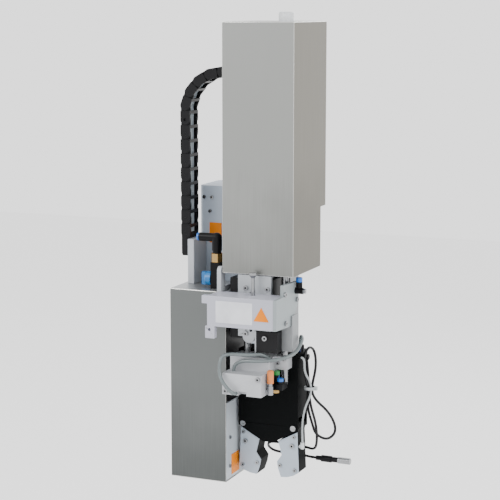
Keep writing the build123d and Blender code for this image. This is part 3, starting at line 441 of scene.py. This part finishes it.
def strands(name, body, first, last):
    """Three tubes through links first..last: circles in the plane across each link's line.

    Link k stands at the end of link k - 1 and leans by bend_step times its count past the
    straight ones; a ring of points lies at each link's start and middle and at the last end.
    """
    leans = np.maximum(np.arange(last + 1) - straight_links + 1, 0) * bend_step
    start_x = np.cumsum(np.append(strand_x, link_pitch * np.sin(leans)))
    start_z = np.cumsum(np.append(chain_foot, link_pitch * np.cos(leans)))
    along = np.arange(2 * first, 2 * last + 3) / 2.0
    link = np.minimum(along.astype(int), last)
    share, lean = (along - link)[:, None], leans[link][:, None]
    turn = np.linspace(0.0, 2.0 * pi, strand_corners, endpoint=False)
    across = strand_radius * np.cos(turn)
    x = start_x[link][:, None] + share * link_pitch * np.sin(lean) + across * np.cos(lean)
    z = start_z[link][:, None] + share * link_pitch * np.cos(lean) - across * np.sin(lean)
    corner = np.arange(strand_corners)
    rows = strand_corners * np.arange(len(along) - 1)[:, None]
    low, low_next = rows + corner, rows + np.roll(corner, -1)
    wall = np.stack([low, low + strand_corners, low_next + strand_corners, low_next], axis=2)
    top = strand_corners * (len(along) - 1) + corner[::-1]
    points, faces = [], []
    for number in range(3):
        y = strand_y + (number - 1) * strand_spread + strand_radius * np.sin(turn)
        base = number * x.size
        points.append(np.stack([x, np.broadcast_to(y, x.shape), z], axis=2).reshape(-1, 3))
        faces += (base + wall.reshape(-1, 4)).tolist()
        faces += [(base + corner).tolist(), (base + top).tolist()]
    mesh = bpy.data.meshes.new(name)
    mesh.from_pydata(np.concatenate(points).tolist(), [], faces)
    mesh.materials.append(cable_jacket)
    shape = bmesh.new()
    shape.from_mesh(mesh)
    bmesh.ops.recalc_face_normals(shape, faces=shape.faces)
    shape.to_mesh(mesh)
    shape.free()
    mesh.set_sharp_from_angle(angle=strand_sharp_above)
    piece = bpy.data.objects.new(name, mesh)
    bpy.context.scene.collection.objects.link(piece)
    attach(piece, body)


strands("strands_fixed", "base", 0, 3)
for link in (4, 5, 6, 7, 13, 14, 15, 16):
    strands("strands_%d" % link, "link_%d" % link, link, link)
strands("strands_arch", "arch_links", 8, 12)


# ---------------------------------------------------------------- head
# White anodised head and valve blocks on the gripper's front, with push-in fittings, a sintered
# silencer and clear hoses.  The gripper is a black box with a blunt V at its lower end.
white_block = milled("white_block", (0.42, 0.43, 0.45), rough=0.42, metallic=0.3)
gripper_black = powder_coat("gripper_black", (0.0025, 0.003, 0.0032), rough=0.55, dirt=0.3,
                            gleam=0.04)
sintered = moulded("sintered", (0.60, 0.19, 0.05), rough=0.75, bump=0.5, scale=1500.0)
green_plastic = moulded("green_plastic", (0.004, 0.20, 0.025), rough=0.3)
port_plastic = moulded("port_plastic", (0.004, 0.012, 0.06), rough=0.3, gleam=0.25)
finished("head_block", [white_block], edge=0.0005)
finished("valve_block", [white_block], edge=0.0005)
finished("gripper_front_cover", [gripper_black], edge=0.0006)
finished("gripper_back_plate", [gripper_black], edge=0.0005)
finished("gripper_housing", [gripper_black])
finished("gripper_plunger", [ground_steel])
finished("pivot_pins", [ground_steel], edge=0.0003)
finished("head_screws", [ground_steel], edge=0.0002)
sintered_foot = -0.0521
finished("silencer", [ground_steel, sintered], edge=0.0003,
         pick=lambda x, y, z: z > sintered_foot)
green_foot, green_right = -0.0445, 0.119
blue_foot, blue_left = -0.0512, 0.1179
nut_top = -0.0629


def fitting_finish(x, y, z):
    """1 on the green ring above green_foot, 2 on the blue ring, 3 on the brass nut, 0 elsewhere."""
    green = (z > green_foot) & (x < green_right)
    blue = (z > blue_foot) & (x > blue_left)
    nut = z < nut_top
    return np.where(green, 1, np.where(blue, 2, np.where(nut, 3, 0)))


finished("push_fittings", [black_plastic, green_plastic, ring_plastic, brass], edge=0.0003,
         pick=fitting_finish)
gland_left = 0.1359
finished("gripper_port", [port_plastic, black_plastic], edge=0.0004,
         pick=lambda x, y, z: x > gland_left)


# ---------------------------------------------------------------- hoses and sensor cable
# Clear soft hoses and a thin white air tube pushed over their fittings, and a black sensor cable
# that lies in two tied loops and ends in a moulded plug.
def hose(name, route, radius, material, slot, body, *nodes):
    """A round hose: one open NURBS curve of order 3, with the route's corners as its controls.

    The route is in millimetres and the radius in metres; the curve ends at the route's ends.
    """
    curve = bpy.data.curves.new(name, "CURVE")
    curve.dimensions = "3D"
    curve.bevel_depth = radius
    curve.bevel_resolution = 5
    curve.resolution_u = 10
    curve.use_fill_caps = True
    line = curve.splines.new("NURBS")
    line.points.add(len(route) - 1)
    corners = np.ones((len(route), 4))
    corners[:, :3] = np.array(route) / 1000.0
    line.points.foreach_set("co", corners.ravel())
    line.order_u = 3
    line.use_endpoint_u = True
    curve.materials.append(material)
    piece = bpy.data.objects.new(name, curve)
    bpy.context.scene.collection.objects.link(piece)
    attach(piece, body)
    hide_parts(*nodes)
    return piece


clear_tube = moulded("clear_tube", (0.17, 0.20, 0.205), rough=0.16, clear=0.3, bump=0.02)
white_tube = moulded("white_tube", (0.34, 0.36, 0.37), rough=0.3)
black_jacket = moulded("black_jacket", (0.004, 0.004, 0.005), rough=0.22, gleam=0.25)
first_route = [(70, -184, -66), (70, -193, -66), (56, -193, -54), (46, -189, -40), (46, -183, -16),
               (56, -173, -14.2), (80, -169, -14.7), (99, -157, -14.2), (105, -151, -21)]
second_route = [(59, -168, -39), (59, -168, -23.7), (106, -168, -22.2), (140, -146, -16.2),
                (142, -117, 2), (133, -105, 6), (133, -105, -8)]
air_route = [(139, -117, -24), (144, -117, -24), (144, -118, -44), (148.8, -104.2, -62),
             (149.4, -104.4, -78), (144, -112.7, -94), (140, -112.7, -112), (139, -112.2, -128),
             (139.5, -111.7, -141), (139.5, -111.7, -146.6)]
cable_route = [(141, -100, -30.5), (143, -99, -50), (143, -99, -70), (142, -99, -100),
               (148, -97, -121), (153, -96, -138), (171, -94, -145), (184, -92, -130),
               (173, -91, -106), (149, -93, -87), (147.2, -98, -70), (151, -89, -43),
               (147, -84, -20), (143.5, -98, -11), (142, -112, -20), (142, -112, -45),
               (145, -103.2, -70), (147.5, -102, -95), (157, -104, -120), (158, -102, -146),
               (150, -90, -162), (131, -78, -163), (103, -75.5, -162), (76, -76, -161),
               (68.2, -67, -171.1), (76, -58, -181.2), (100, -58, -181), (122, -68, -178),
               (138, -78, -177), (148, -78, -177)]
first_hose = hose("first_hose", first_route, 0.0025, clear_tube, "clear_hose", "head", "head_hoses")
second_hose = hose("second_hose", second_route, 0.0025, clear_tube, "clear_hose", "head",
                   "head_hoses")
air_tube = hose("air_tube", air_route, 0.0015, white_tube, "white_plastic", "head", "jaw_air_tube")
cable = hose("sensor_lead", cable_route, 0.0019, black_jacket, "cable", "head", "sensor_cable")
finished("cable_clip", [ground_steel], edge=0.0003)
sleeve_left = 0.1809
plug = finished("sensor_plug", [black_plastic, ground_steel], edge=0.0006,
                pick=lambda x, y, z: x > sleeve_left)
tie = finished("cable_tie", [white_tube], edge=0.0003)


# ---------------------------------------------------------------- sockets of the screws
# Every screw has a hexagon socket whose floor gets painted shade, the shadow deep in the
# socket.  The floors are thin six-sided lenses, one mesh for all the screws of a node.
largest_screw = 0.025
head_width, floor_depth, floor_radius, tip_height = 3.5, 0.66, 0.76, 0.04


def socket_floors(node):
    """Lenses on the socket floors: a hexagon of points round each screw's axis and two tips on it.

    Each connected group of corners gets its lowest number by handing numbers along the edges.  Its
    box is as wide as the screw's head across the axis; the head stands at the low Y, the high X
    or the high Z end, and its sizes are head_width, floor_depth and so on times the shank radius.
    """
    merged = merged_copy(node, "rough_" + node)
    corners = np.empty(len(merged.vertices) * 3)
    merged.vertices.foreach_get("co", corners)
    corners = corners.reshape(-1, 3)
    edges = np.empty(len(merged.edges) * 2, dtype=np.int32)
    merged.edges.foreach_get("vertices", edges)
    bpy.data.meshes.remove(merged)
    near, far = edges.reshape(-1, 2).T
    group, before = np.arange(len(corners)), None
    while before is None or (group != before).any():
        before = group.copy()
        np.minimum.at(group, near, before[far])
        np.minimum.at(group, far, before[near])
    group = np.unique(group, return_inverse=True)[1]
    low = np.full((group.max() + 1, 3), np.inf)
    high = -low
    np.minimum.at(low, group, corners)
    np.maximum.at(high, group, corners)
    small = (high - low).max(axis=1) <= largest_screw
    low, high = low[small], high[small]
    size, centre = high - low, (low + high) / 2.0
    row = np.arange(len(size))
    axis = np.argmin(abs(size[:, [1, 0, 0]] - size[:, [2, 2, 1]]), axis=1)
    shank = size[row, (axis + 1) % 3] / head_width
    top = np.where(axis == 1, low[row, 1], high[row, axis])
    centre[row, axis] = top - np.where(axis == 1, -1.0, 1.0) * floor_depth * shank
    first, second, third = (np.eye(3)[(axis + step) % 3][:, None] for step in (1, 2, 0))
    shank, centre = shank[:, None, None], centre[:, None]
    turn = np.arange(6)[:, None] * pi / 3.0
    rim = centre + floor_radius * shank * (np.cos(turn) * first + np.sin(turn) * second)
    tips = centre + shank * np.array([[-tip_height], [tip_height]]) * third
    points = np.concatenate([rim, tips], axis=1)
    number, following = np.arange(6), np.roll(np.arange(6), -1)
    upper = np.stack([number, following, np.full(6, 7)], axis=1)
    lower = np.stack([following, number, np.full(6, 6)], axis=1)
    faces = 8 * row[:, None, None] + np.concatenate([upper, lower])
    mesh = bpy.data.meshes.new("socket_floors_" + node)
    mesh.from_pydata(points.reshape(-1, 3).tolist(), [], faces.reshape(-1, 3).tolist())
    mesh.materials.append(socket_shade)
    piece = bpy.data.objects.new(mesh.name, mesh)
    bpy.context.scene.collection.objects.link(piece)
    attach(piece, frame["nodes"][node]["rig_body"])


# Near-black finish of the socket floors: painted shade in the recess.
socket_shade = powder_coat("socket_shade", (0.002, 0.002, 0.002), rough=0.6, dirt=0.5, gleam=0.05)
for node in ("frame_screws", "head_screws", "left_jaw_plate", "right_jaw_plate"):
    socket_floors(node)


# ---------------------------------------------------------------- jaws
# Black fork bodies with painted front plates, held by bright steel screws.  Each jaw swings on its
# own pin, and both close together.
jaw_paint = powder_coat("jaw_paint", (0.33, 0.38, 0.44), rough=0.36, dirt=0.12)
jaw_plate_front = -0.11775
for side in ("left", "right"):
    finished(side + "_jaw", [gripper_black], edge=0.0005)
    finished(side + "_jaw_plate", [jaw_paint, ground_steel], edge=0.0003,
             pick=lambda x, y, z: y < jaw_plate_front)
finished("right_jaw_elbow", [cap_plastic], edge=0.0003)
